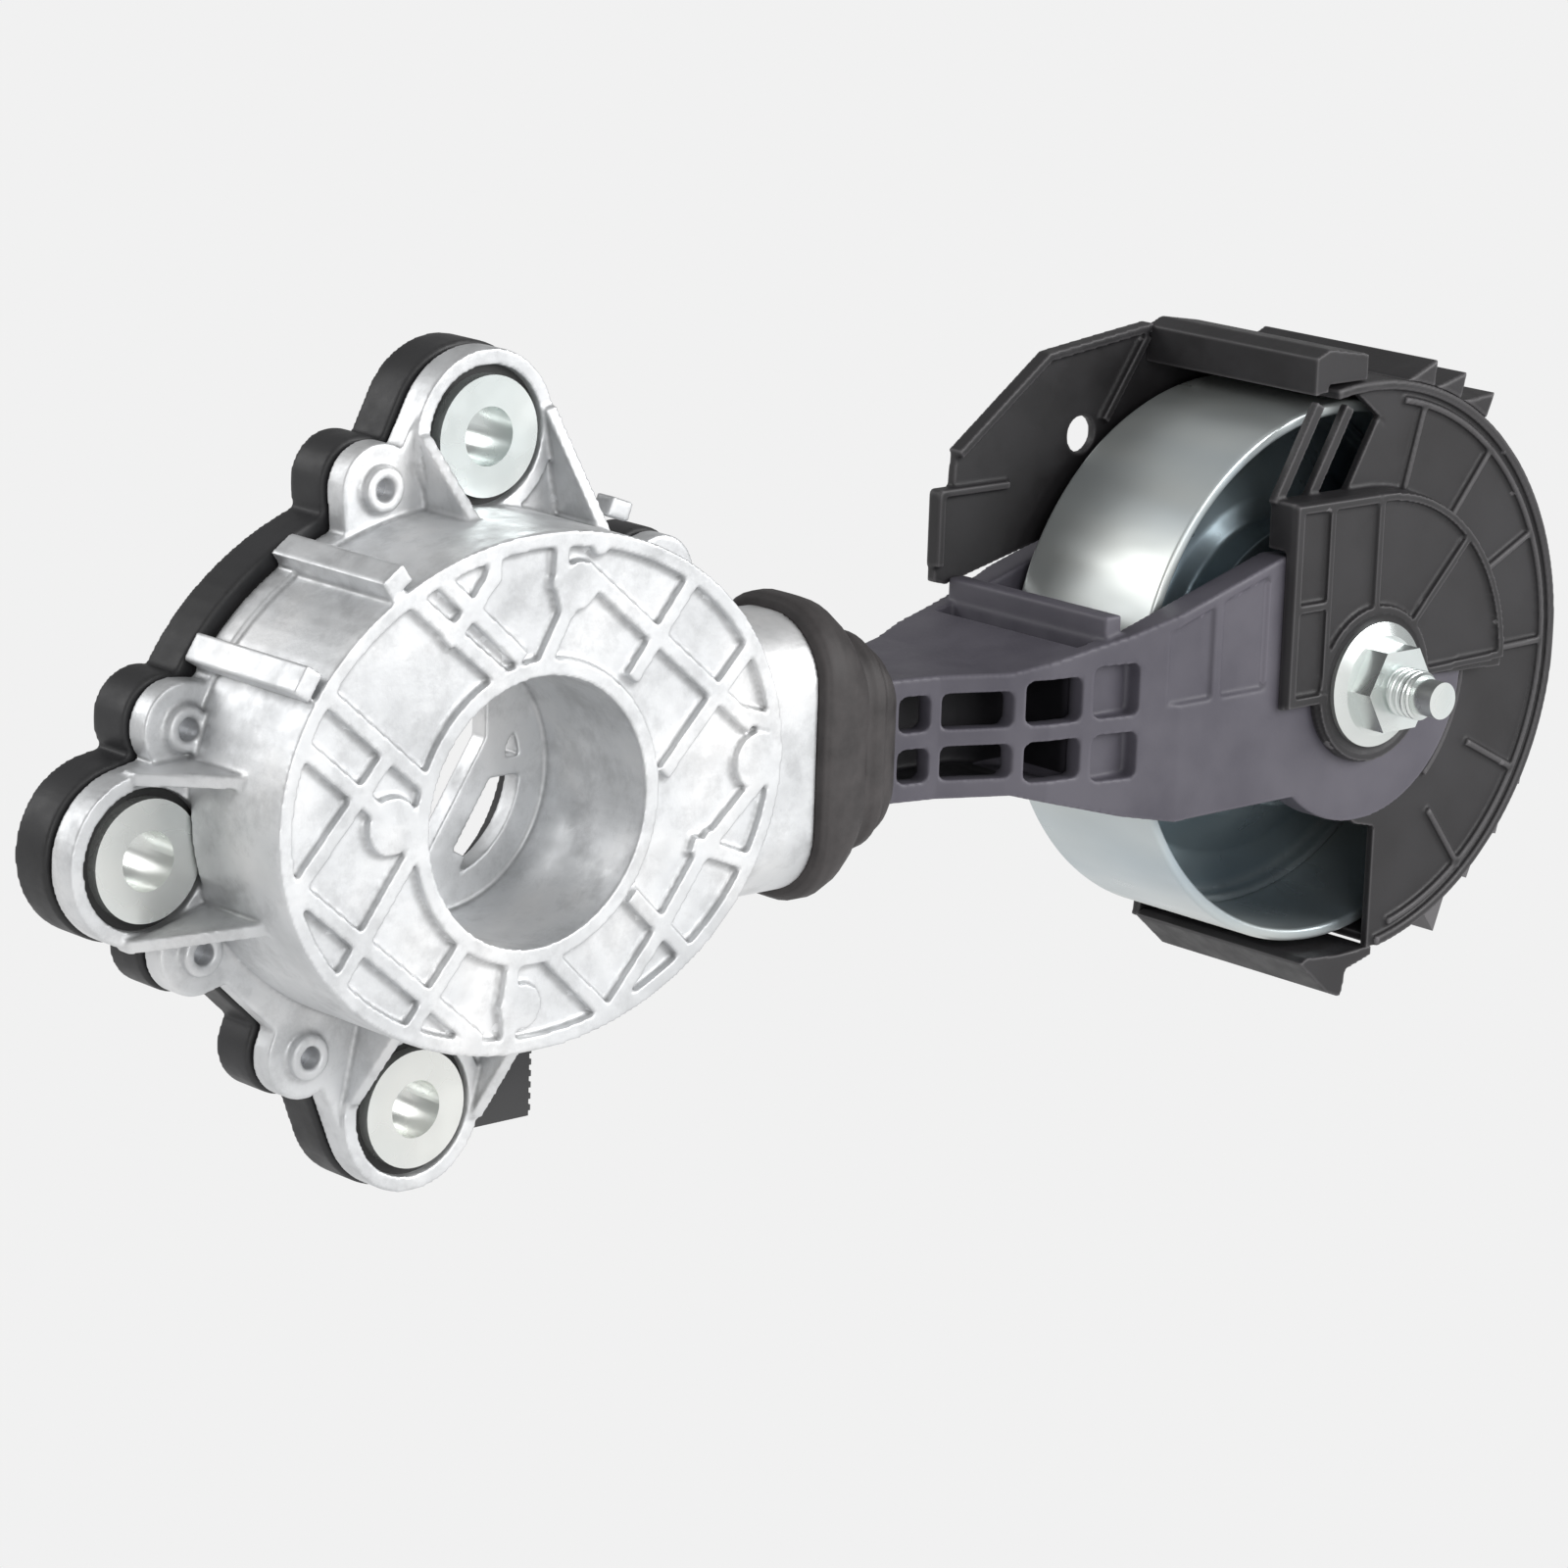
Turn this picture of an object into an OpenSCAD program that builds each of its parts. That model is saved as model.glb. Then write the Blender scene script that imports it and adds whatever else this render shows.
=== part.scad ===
// Spring-loaded idler unit: a cast housing that bolts to an engine by three
// rubber-mounted sleeves, and a sliding forked arm that carries a wide wheel.
// X runs from the hub bore to the wheel axis, Y along both axes into the
// engine, Z up. The origin is the centre of the hub bore's mouth.

/* [Housing] */
// Radius of the hub bore
hub_r = 20; // [19:0.5:20]
// Half length of the oval face, along X
face_a = 46.5; // [46:0.1:47]
// Half height of the oval face, along Z
face_b = 38.3; // [38:0.1:39]
// Height of the oval's centre above the hub axis
face_rise = 2.7; // [2:0.1:3]
// Depth of the casting, from face to joint with the cover
case_depth = 26.5; // [26:0.1:27]
// Thickness of the casting's walls
case_wall = 3; // [2.6:0.1:3.2]
// Depth of the shallow pockets in the face
pocket_depth = 1.3; // [0.8:0.1:1.6]
// Width of the ribs between the pockets
rib_w = 2.5; // [2:0.1:3]
// Thickness of the ears' flange
flange_t = 4; // [3.5:0.1:4.5]

/* [Mounting sleeves] */
// Radius of the hole through each sleeve
sleeve_hole_r = 4.4; // [4.2:0.05:4.6]
// Radius of the sleeve's flange
sleeve_flange_r = 9; // [8.6:0.1:9.2]
// Where the sleeves' front faces lie
sleeve_front_y = 21; // [20.5:0.1:21.5]
// Where the sleeves' rear faces lie, on the engine
mount_y = 35.5; // [35.2:0.1:36.5]

/* [Wheel] */
// Distance from the hub axis to the wheel axis
wheel_x = 164.3; // [163.5:0.1:165]
// Outer radius of the wheel
wheel_r = 44.5; // [43.5:0.1:45]
// Width of the wheel
wheel_w = 29; // [27:0.5:29.5]
// Thickness of the rim
rim_t = 2; // [1.5:0.1:2.5]
// Half the number of balls in the bearing, one row
balls_per_row = 8; // [6:1:8]

/* [Arm] */
// How far the arm can be pushed back into the housing
arm_travel = 6; // [4:0.5:6]
// Half height of the arm at its neck
neck_half_h = 9.7; // [9:0.1:10]
// Half width of the arm at its neck
neck_half_w = 9; // [8.5:0.1:9.2]

/* [Guard] */
// Inner radius of the guard's shell round the wheel
guard_r = 46.0; // [45.8:0.1:46.4]
// Thickness of the guard's walls
guard_t = 1.6; // [1.4:0.1:1.8]

/* [Hidden] */
$fn = 64;

mid_y = 13.5;                       // the wheel's and the arm's middle plane
arm_z = -0.4;                       // the arm's centre line stands a little low
hub_wall_r = hub_r + 2.8;
flange_y = case_depth - flange_t;
hub_web_y = 23;                     // the spoke across the hub's far end
cover_t = 8.2;
cover_y = case_depth + 0.8;         // the seal lies between
cover_end_y = case_depth + cover_t;

sleeves = [[6.3, 50.8], [-53.4, -3.7], [-4.9, -48.7]];
ear_r = 12.8;
grommet_r = 10.4;
screws = [[-12.3, 44.8], [-46.5, 14.3], [-43.5, -18.8], [-24.3, -37.5],
          [41, 25.6], [41, -26.6]];
screw_boss_r = 3.4;
screw_hole_r = 1.7;

nozzle_end_x = 54.5;
nozzle_half = [12.4, 21.6];         // half width along Y, half height along Z
nozzle_corner_r = 11;
nozzle_wall = 2.6;
spigot_end_x = 57;
boot_end_x = 73;

yoke_y = [5, 15];
springs = [[10, face_rise - 8], [10, face_rise + 8]];  // y and z of the two springs
spring_x = [-39.7, -27.2];
seat_x = -40.5;
pin_r = 2.5;
pin_x = [-43.9, -24.5];
tongue_end_x = 60;
tongue_half = [6, 5.6];
cross_pin_x = [51.5, 56.5];
cross_pin_r = 1.5;
screw_axis = [20.6, 30];            // the lead screw's place, y and z
screw_r = 2;

slot_y = [mid_y - 16.5, mid_y + 16.5];      // inner faces of the fork
cheek_y = [mid_y - 22, mid_y + 22];         // outer faces of the fork
fork_root_x = 112.5;
boss_r = 23;
guard_face_y = [cheek_y[0] - 2.2, cheek_y[1] + 2.2];
guard_boss_y = [guard_face_y[0] + 0.25, guard_face_y[1] - 0.25];
guard_wall_y = [-6.2, 33.2];
guard_c = [wheel_x, 1];              // the guard sits a little high round the wheel
shell_split_y = 9;
axle_r = 6;
wheel_y = [mid_y - wheel_w / 2, mid_y + wheel_w / 2];
hub_y = [6.8, 26.2];
bearing_y = [6.2, 25.4];
bearing_or = 18.5;
race_r = 12.25;                     // the balls' circle
ball_r = 2.9;
ball_rows = [10.9, 20.7];

// ---- helpers ----

// Extrudes a shape drawn in x and z from y0 to y1
module along_y(y0, y1) {
    translate([0, y1, 0]) rotate([90, 0, 0]) linear_extrude(y1 - y0) children();
}

// Extrudes a shape drawn in y and z from x0 to x1
module along_x(x0, x1) {
    translate([x0, 0, 0]) rotate([90, 0, 90]) linear_extrude(x1 - x0) children();
}

// A cylinder along Y round the point (x, z)
module rod_y(p, r, y0, y1) {
    translate([p[0], y1, p[1]]) rotate([90, 0, 0]) cylinder(r = r, h = y1 - y0);
}

// A cylinder along X through (y, z)
module rod_x(p, r, x0, x1) {
    translate([x0, p[0], p[1]]) rotate([0, 90, 0]) cylinder(r = r, h = x1 - x0);
}

// A shape turned round the wheel's axis, drawn as radius and y
module turned() {
    translate([wheel_x, 0, 0]) rotate([-90, 0, 0]) rotate_extrude($fn = 128) children();
}

function oval(a, b, n = 96) = [for (i = [0 : n - 1]) [a * cos(360 * i / n), b * sin(360 * i / n)]];

module oval_shape(grow = 0) {
    translate([0, face_rise]) polygon(oval(face_a + grow, face_b + grow));
}

// Two circles joined by their outer tangents
module strap(p, rp, q, rq) {
    d = norm(q - p);
    lean = acos((rp - rq) / d);
    way = atan2(q[1] - p[1], q[0] - p[0]);
    translate(p) circle(r = rp);
    translate(q) circle(r = rq);
    polygon([for (e = [[p, rp, 1], [q, rq, 1], [q, rq, -1], [p, rp, -1]])
        e[0] + e[1] * [cos(way + e[2] * lean), sin(way + e[2] * lean)]]);
}

// A bar between two points, with square ends
module bar(p, q, w) {
    way = atan2(q[1] - p[1], q[0] - p[0]);
    translate(p) rotate(way) translate([0, -w / 2]) square([norm(q - p), w]);
}

// A rectangle with round corners, centred
module round_rect(half, r) {
    square([2 * half[0], 2 * (half[1] - r)], center = true);
    square([2 * (half[0] - r), 2 * half[1]], center = true);
    for (sx = [-1, 1], sy = [-1, 1])
        translate([sx * (half[0] - r), sy * (half[1] - r)]) circle(r = r);
}

// The part of a ring between two angles
module ring_sector(r0, r1, from, to) {
    steps = 24;
    far = r1 * 1.2;
    intersection() {
        difference() {
            circle(r = r1, $fn = 128);
            circle(r = r0, $fn = 128);
        }
        polygon(concat([[0, 0]], [for (i = [0 : steps])
            far * [cos(from + (to - from) * i / steps), sin(from + (to - from) * i / steps)]]));
    }
}

// ---- housing ----

// Ribs on the face, as polylines in x and z
face_ribs = [
    [[-26.5, 36.5], [-7.5, 21]],
    [[-40.5, 24], [-20.5, 7]],
    [[-20, 37.5], [-3.5, 23]],
    [[-17.5, 27], [-12.5, 31.5], [-9.2, 35.5], [-8.8, 40]],
    [[0.5, 22], [4.5, 29], [3, 33.5], [3.5, 40]],
    [[7.5, 35], [40.5, 7.5]],
    [[17, 17.5], [31.5, 35]],
    [[23.5, 2.5], [43, 23]],
    [[42.5, -1], [31, -11]],
    [[29.5, -9], [43.5, -14.5]],
    [[33.5, -8], [23.5, -21.5]],
    [[18, -15], [29.5, -26]],
    [[24.5, -20.5], [14.5, -32]],
    [[3, -22], [14, -32.5]],
    [[-4, -22], [-5, -28], [-4.5, -35]],
    [[-43.5, -4.5], [-10, -32.5]],
    [[-37.5, -22.5], [-21.5, -1]],
    [[-25.5, -32], [-13.5, -18]],
    [[-43.5, -5.5], [-27, 12.5]],
    [[-45, 17.5], [-27.5, 3]],
    [[38, 9.5], [46, 7]]
];
face_bosses = [[-26.5, 1.8, 4.3], [41.8, 2, 4.3], [-2.2, -28.5, 3.4], [6.5, 32.5, 3.6],
               [10.5, 38, 1.6]];

module face_rib_shape() {
    for (line = face_ribs, i = [0 : len(line) - 2]) bar(line[i], line[i + 1], rib_w);
    for (line = face_ribs) if (len(line) > 2) for (i = [1 : len(line) - 2])
        translate(line[i]) circle(r = rib_w / 2 + 0.25);
    for (b = face_bosses) translate([b[0], b[1]]) circle(r = b[2]);
}

// Everything of the flange: the oval, the ears and the lobes for the screws
module flange_shape(grow = 0) {
    oval_shape(0.8 + grow);
    strap(sleeves[0], ear_r + grow, [5, 24], 24);
    strap(sleeves[1], ear_r + grow, [-26, -2.5], 17);
    strap(sleeves[2], ear_r + grow, [-5, -18], 24);
    for (s = screws) strap(s, 6.6 + grow, s * 0.7, 9);
    strap([-42, -17], 3 + grow, [-24, -34], 3 + grow);
}

// A thin triangular wall from an ear up the casting's side
module gusset(p, q, y_ear, y_top) {
    t = 2;
    run = norm(q - p);
    translate([p[0], 0, p[1]]) rotate([0, -atan2(q[1] - p[1], q[0] - p[0]), 0])
        linear_extrude(t, center = true)
            polygon([[0, flange_y + 1], [0, y_ear], [run, y_top], [run, flange_y + 1]]);
}

// The web across the bore's far end, with its windows
module hub_web() {
    reach = hub_r + 1;
    intersection() {
        circle(r = reach);
        union() {
            difference() {
                circle(r = reach);
                circle(r = hub_r - 5);
            }
            bar([-6, -20.5], [13.5, 9], 4.2);
            bar([10.4, 2], [10.4, 18], 3.8);
            bar([9, 0.4], [19, 0.4], 2.8);
            bar([-2, -20], [3, -11], 5);
        }
    }
}

module nozzle_section(shrink = 0) {
    translate([mid_y, arm_z])
        round_rect([nozzle_half[0] - shrink, nozzle_half[1] - shrink], nozzle_corner_r - shrink);
}

module housing() {
    ear_front_y = sleeve_front_y + 0.6;
    ear_top_y = ear_front_y - 0.7;
    color([0.86, 0.87, 0.88]) difference() {
        union() {
            difference() {
                union() {
                    along_y(0, case_depth) oval_shape();
                    for (p = [[-26.2, 36.8, -35], [-41.5, 24.2, -58]])
                        translate([p[0], 0, p[1]]) rotate([0, p[2] + 90, 0])
                            translate([-1.6, 0.3, -2.2]) cube([3.2, case_depth - 0.6, 4.4]);
                    along_x(36, nozzle_end_x) nozzle_section();
                    along_x(nozzle_end_x - 1, spigot_end_x) nozzle_section(1.4);
                }
                along_y(case_wall + pocket_depth, case_depth + 1) oval_shape(-case_wall);
            }
            along_y(flange_y, case_depth) difference() {
                flange_shape();
                oval_shape(-case_wall);
            }
            rod_y([0, 0], hub_wall_r, 0, case_depth);
            for (c = sleeves) rod_y(c, ear_r, ear_front_y, case_depth);
            for (s = screws) rod_y(s, screw_boss_r, flange_y - 1.6, case_depth);
            for (c = springs) rod_x(c, 4.2, pin_x[0] + 0.4, seat_x);
            gusset([-5.4, 52], [-2.2, 38], ear_top_y, 10);
            gusset([17.7, 54], [22.5, 34.5], ear_top_y, 12);
            gusset([-56, 8.4], [-43, 9.2], ear_top_y, 5.5);
            gusset([-57, -15.8], [-41, -11.8], ear_top_y, 5.5);
            gusset([-16.3, -46], [-13, -31], ear_top_y, 12);
            gusset([6.6, -52], [12, -32.5], ear_top_y, 12);
            translate([28, flange_y - 3, 37]) rotate([0, 20, 0]) cube([4.2, 4, 3]);
        }
        along_y(-1, pocket_depth) difference() {
            oval_shape(-2.4);
            circle(r = hub_r + 2.5);
            face_rib_shape();
        }
        difference() {
            rod_y([0, 0], hub_r, -1, case_depth + 1);
            along_y(hub_web_y, case_depth) hub_web();
        }
        for (c = sleeves) rod_y(c, grommet_r, ear_top_y - 0.2, case_depth + 1);
        for (s = screws) rod_y(s, screw_hole_r, flange_y - 3, case_depth + 1);
        along_x(27, spigot_end_x + 1) translate([mid_y, arm_z])
            round_rect([nozzle_half[0] - nozzle_wall, nozzle_half[1] - nozzle_wall - 1], 8);
        for (c = springs) rod_x(c, pin_r, pin_x[0], seat_x + 1);
    }
}

module cover_shape() {
    flange_shape(0.4);
    oval_shape(3);
    translate([12, -45]) square([11.6, 14]);
}

module rear_cover() {
    color([0.13, 0.13, 0.14]) difference() {
        along_y(cover_y, cover_end_y) cover_shape();
        rod_y([0, 0], hub_r + 1, cover_y - 1, cover_end_y + 1);
        for (c = sleeves) rod_y(c, grommet_r, cover_y - 1, cover_end_y + 1);
        for (s = screws) {
            rod_y(s, 2.2, cover_y - 1, cover_end_y + 1);
            rod_y(s, 4.2, cover_end_y - 2.2, cover_end_y + 1);
        }
        along_y(cover_y - 1, cover_y + 1.4) difference() {
            oval_shape(-case_wall - 1);
            circle(r = hub_wall_r + 2);
        }
        for (a = [20 : 20 : 340]) if (a != 180 && abs(a - 280) > 30)
            rotate([0, -a, 0]) translate([hub_r + 5, cover_end_y - 1.2, -4])
                cube([9, 2, 4]);
    }
}

module cover_seal() {
    color([0.05, 0.05, 0.05]) along_y(case_depth, cover_y) difference() {
        oval_shape(0.4);
        oval_shape(-case_wall + 0.2);
        for (c = sleeves) translate(c) circle(r = grommet_r + 0.3);
    }
}

module cover_screws() {
    head_y = cover_end_y - 2.2;
    color([0.75, 0.76, 0.78]) for (s = screws) difference() {
        union() {
            rod_y(s, screw_hole_r, flange_y + 1, head_y + 0.5);
            rod_y(s, 3.9, head_y, cover_end_y + 0.3);
        }
        translate([s[0], cover_end_y + 1, s[1]]) rotate([90, 0, 0])
            cylinder(r = 2, h = 2, $fn = 6);
    }
}

module mounting_sleeves() {
    color([0.88, 0.90, 0.88]) for (c = sleeves) difference() {
        union() {
            rod_y(c, sleeve_flange_r, sleeve_front_y, sleeve_front_y + 2);
            rod_y(c, 6.2, sleeve_front_y + 1, mount_y);
        }
        rod_y(c, sleeve_hole_r, sleeve_front_y - 1, mount_y + 1);
    }
}

module sleeve_grommets() {
    color([0.06, 0.06, 0.06]) for (c = sleeves) difference() {
        union() {
            rod_y(c, grommet_r, sleeve_front_y + 2, cover_end_y);
        }
        rod_y(c, 6.2, sleeve_front_y, cover_end_y + 1);
        for (a = [0 : 45 : 315])
            rod_y(c + 8.4 * [cos(a), sin(a)], 1.1, cover_end_y - 6, cover_end_y + 1);
    }
}

// ---- electrical connector under the cover ----

connector_x = [12, 23.6];
connector_y = [29.5, 40.5];
connector_z = [-57, -45];

module connector_shell() {
    rib_pitch = 1.8;
    color([0.1, 0.1, 0.11]) difference() {
        union() {
            translate([connector_x[0], connector_y[0], connector_z[0]])
                cube([connector_x[1] - connector_x[0], connector_y[1] - connector_y[0],
                      connector_z[1] - connector_z[0]]);
            for (i = [0 : 5])
                translate([connector_x[0] - 0.8, connector_y[0] + 0.5,
                           connector_z[0] + 0.6 + i * rib_pitch])
                    cube([connector_x[1] - connector_x[0] + 1.6,
                          connector_y[1] - connector_y[0] - 1, 0.9]);
        }
        translate([connector_x[0] + 2, connector_y[0] + 2, connector_z[0] - 1])
            cube([connector_x[1] - connector_x[0] - 4, connector_y[1] - connector_y[0] - 4, 9]);
    }
}

module connector_pins() {
    cx = (connector_x[0] + connector_x[1]) / 2;
    cy = (connector_y[0] + connector_y[1]) / 2;
    color([0.85, 0.7, 0.35]) for (i = [-1, 1])
        translate([cx + i * 2.5 - 0.4, cy - 0.3, connector_z[0] + 2]) cube([0.8, 0.6, 6]);
}

// ---- boot and nozzle fittings ----

module nozzle_liner() {
    half = [nozzle_half[0] - nozzle_wall, nozzle_half[1] - nozzle_wall - 1];
    color([0.8, 0.78, 0.7]) along_x(47, spigot_end_x - 0.2) translate([mid_y, arm_z]) difference() {
        round_rect(half, 8);
        square([2 * neck_half_w + 0.2, 2 * neck_half_h + 0.2], center = true);
    }
}

// One stretch of the boot, outside or inside
module boot_band(x0, x1, half, r) {
    along_x(x0, x1) translate([mid_y, arm_z]) round_rect(half, r);
}

module boot() {
    color([0.08, 0.08, 0.08]) difference() {
        union() {
            boot_band(nozzle_end_x + 0.05, 60.5, [14, 23.4], 12);
            boot_band(60, 65, [12.8, 19.6], 11);
            boot_band(64.5, 70.5, [12, 16.8], 9);
            boot_band(70, boot_end_x, [10.6, 12], 4.5);
        }
        along_x(nozzle_end_x - 1, spigot_end_x) nozzle_section(1.4);
        boot_band(spigot_end_x - 1, 64, [11.4, 17.6], 9);
        boot_band(63, 70, [10.6, 14.6], 7);
        along_x(69, boot_end_x + 1) translate([mid_y, arm_z])
            square([2 * neck_half_w, 2 * neck_half_h], center = true);
    }
}

// ---- slide, springs and actuator inside the housing ----

module guide_pins() {
    color([0.75, 0.76, 0.78]) for (c = springs) rod_x(c, pin_r, pin_x[0], pin_x[1]);
}

module spring_seats() {
    color([0.3, 0.3, 0.32]) for (c = springs) difference() {
        rod_x(c, 4.2, seat_x, spring_x[0]);
        rod_x(c, pin_r, seat_x - 1, spring_x[0] + 1);
    }
}

// A coil of round wire along X, swept through its own rings
module coil(p, r, wire_r, x0, x1, turns) {
    steps = turns * 14;
    sides = 6;
    rings = [for (i = [0 : steps]) let (a = 360 * turns * i / steps,
                                        x = x0 + wire_r + (x1 - x0 - 2 * wire_r) * i / steps)
        for (k = [0 : sides - 1]) let (b = 360 * k / sides, q = r + wire_r * cos(b))
            [x + wire_r * sin(b), p[0] + q * cos(a), p[1] + q * sin(a)]];
    skin = [for (i = [0 : steps - 1], k = [0 : sides - 1])
        [i * sides + k, i * sides + (k + 1) % sides,
         (i + 1) * sides + (k + 1) % sides, (i + 1) * sides + k]];
    caps = [[for (k = [sides - 1 : -1 : 0]) k], [for (k = [0 : sides - 1]) steps * sides + k]];
    polyhedron(points = rings, faces = concat(skin, caps), convexity = 8);
}

module tension_springs() {
    color([0.6, 0.62, 0.64]) for (c = springs) coil(c, 3.6, 0.5, spring_x[0], spring_x[1], 5);
}

module actuator_motor() {
    color([0.7, 0.71, 0.72]) {
        rod_x(screw_axis, 5.1, -15, 0);
        rod_x(screw_axis, 3.6, -16.2, -15);
    }
}

module motor_bracket() {
    color([0.25, 0.25, 0.27]) difference() {
        translate([-12, cover_y - 11, 24.2]) cube([5, 12.4, 10.6]);
        rod_x(screw_axis, 5.1, -13, -6);
    }
}

module lead_screw() {
    color([0.75, 0.76, 0.78]) rod_x(screw_axis, screw_r, 0.1, 19);
}

module spindle_nut() {
    color([0.85, 0.75, 0.45]) difference() {
        translate([10, yoke_y[1], 25.6]) cube([6, 9.4, 8.4]);
        rod_x(screw_axis, screw_r + 0.05, 9, 17);
    }
}

module cross_pins(y0, y1) {
    for (x = cross_pin_x) rod_y([x, arm_z], cross_pin_r, y0, y1);
}

module tongue_shape() {
    translate([mid_y, arm_z]) square([2 * tongue_half[0], 2 * tongue_half[1]], center = true);
}

module slide_yoke() {
    left_x = -36;
    ring_b = 28;
    color([0.62, 0.63, 0.65]) difference() {
        union() {
            along_y(yoke_y[0], yoke_y[1]) translate([2, 0]) polygon(oval(2 - left_x, ring_b));
            along_x(26, tongue_end_x) tongue_shape();
        }
        along_y(yoke_y[0] - 1, yoke_y[1] + 9) strap([0, 0], hub_wall_r + 0.6,
            [arm_travel, 0], hub_wall_r + 0.6001);
        for (c = springs) {
            rod_x(c, 4.5, left_x - 1, spring_x[1]);
            rod_x(c, 4, spring_x[1] - 1, -15);
        }
        cross_pins(0, 30);
    }
}

module yoke_bushes() {
    color([0.72, 0.55, 0.3]) for (c = springs) difference() {
        rod_x(c, 4, spring_x[1], pin_x[1]);
        rod_x(c, pin_r + 0.05, spring_x[1] - 1, -20);
    }
}

module yoke_pins() {
    color([0.75, 0.76, 0.78]) cross_pins(mid_y - neck_half_w + 0.3, mid_y + neck_half_w - 0.3);
}

// ---- arm ----

// The arm seen from the front
module arm_side_shape() {
    polygon([[48, arm_z - neck_half_h], [92, arm_z - neck_half_h], [112, -15.4], [122, -17.3],
             [wheel_x - 8, -17], [wheel_x + 2, -10], [wheel_x + 2, 21], [144, 22.6],
             [fork_root_x, 13.4], [92, arm_z + neck_half_h], [48, arm_z + neck_half_h]]);
    translate([wheel_x, 0]) circle(r = boss_r, $fn = 128);
}

// The arm seen from above, one half, mirrored about its middle plane
module arm_plan_shape(inset = 0) {
    end_x = wheel_x + boss_r + 1;
    half = [[48, neck_half_w], [73.5, neck_half_w], [81, 10.6], [91, 15.2], [98, 17.6],
            [106, 18.8], [122, 22], [end_x, 22]];
    translate([0, mid_y]) polygon(concat(
        [for (p = half) [p[0], p[1] - inset]],
        [for (i = [len(half) - 1 : -1 : 0]) [half[i][0], -half[i][1] + inset]]));
}

// A window of the lattice, with round corners
module window(x0, x1, z0, z1, r = 1.3) {
    translate([(x0 + x1) / 2, (z0 + z1) / 2]) round_rect([(x1 - x0) / 2, (z1 - z0) / 2], r);
}

// Windows of the lattice, for the columns from first to last
module lattice_windows(first, last) {
    columns = [[74.2, 79.6], [81.5, 92.2], [94.2, 104], [106.2, 114.4]];
    for (i = [first : last]) {
        spread = max(i - 1, 0);
        window(columns[i][0], columns[i][1], 0.8, 6.4 + 1.3 * spread);
        window(columns[i][0], columns[i][1], -7.2 - spread, -1.9);
    }
}

module arm() {
    root_rib_end_y = guard_wall_y[1] - guard_t - 0.4;
    color([0.33, 0.32, 0.36]) difference() {
        union() {
            intersection() {
                along_y(cheek_y[0] - 1, cheek_y[1] + 1) arm_side_shape();
                linear_extrude(80, center = true) arm_plan_shape();
            }
            // the raised wall across the fork's root
            translate([fork_root_x - 3.7, slot_y[0] - 1.5, 8])
                cube([3.3, root_rib_end_y - slot_y[0] + 1.5, 8.4]);
        }
        // the gap that the wheel runs in
        translate([fork_root_x, slot_y[0], -60]) cube([200, slot_y[1] - slot_y[0], 120]);
        // the hollow behind the lattice
        intersection() {
            for (y = [[-20, mid_y - 1], [mid_y + 1, 50]]) along_y(y[0], y[1])
                polygon([[66, -7.4], [92, -7.6], [105, -10], [105, 8.4], [92, 7], [66, 7]]);
            linear_extrude(80, center = true) difference() {
                arm_plan_shape(3.2);
                translate([104.5, -40]) square([100, 120]);
            }
        }
        along_y(cheek_y[0] - 1, mid_y - 5) lattice_windows(0, 2);
        along_y(mid_y + 5, cheek_y[1] + 1) lattice_windows(0, 2);
        along_y(cheek_y[0] - 1, slot_y[0] - 0.9) lattice_windows(3, 3);
        along_y(slot_y[1] + 0.9, cheek_y[1] + 1) lattice_windows(3, 3);
        // the groove across the top, before the fork's root
        translate([fork_root_x - 7.5, slot_y[0] + 0.5, 9.4])
            cube([3.6, slot_y[1] - slot_y[0] - 1, 10]);
        // shallow panels on the outside of each cheek
        for (y = [cheek_y[0] - 1, cheek_y[1] - 0.8]) along_y(y, y + 1.8) {
            polygon([[119.5, 1.6], [129, 1.6], [129, 16.4], [119.5, 13.4]]);
            polygon([[131, 1.6], [141, 1.6], [141, 20], [131, 17]]);
        }
        // the bore for the axle's bushes
        rod_y([wheel_x, 0], 8, cheek_y[0] - 2, cheek_y[1] + 2);
        // the socket for the yoke's tongue
        along_x(47, tongue_end_x) tongue_shape();
        cross_pins(mid_y - neck_half_w - 1, mid_y + neck_half_w + 1);
    }
}

module cheek_bushes() {
    color([0.75, 0.76, 0.78]) for (y = [[cheek_y[0], slot_y[0]], [slot_y[1], cheek_y[1]]])
        difference() {
            rod_y([wheel_x, 0], 8, y[0], y[1]);
            rod_y([wheel_x, 0], axle_r, y[0] - 1, y[1] + 1);
        }
}

// ---- axle and bearing ----

nut_y = guard_boss_y[0];
nut_h = 5;
thread_end_y = -21.2;
stud_tip_y = -25.2;

module axle_bolt() {
    head_y = guard_boss_y[1];
    color([0.85, 0.87, 0.86]) difference() {
        union() {
            rod_y([wheel_x, 0], axle_r, cheek_y[0] + 0.5, head_y + 0.5);
            rod_y([wheel_x, 0], 4, nut_y - nut_h - 1, cheek_y[0] + 1);
            rod_y([wheel_x, 0], 3.45, thread_end_y, nut_y - nut_h);
            rod_y([wheel_x, 0], 3, stud_tip_y, thread_end_y + 1);
            rod_y([wheel_x, 0], 11, head_y, head_y + 1.6);
            translate([wheel_x, head_y + 6.5, 0]) rotate([90, 0, 0])
                cylinder(r = 9.8, h = 5, $fn = 6);
        }
        rod_y([wheel_x, 0], 2.2, head_y + 3, head_y + 8);
    }
}

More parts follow.
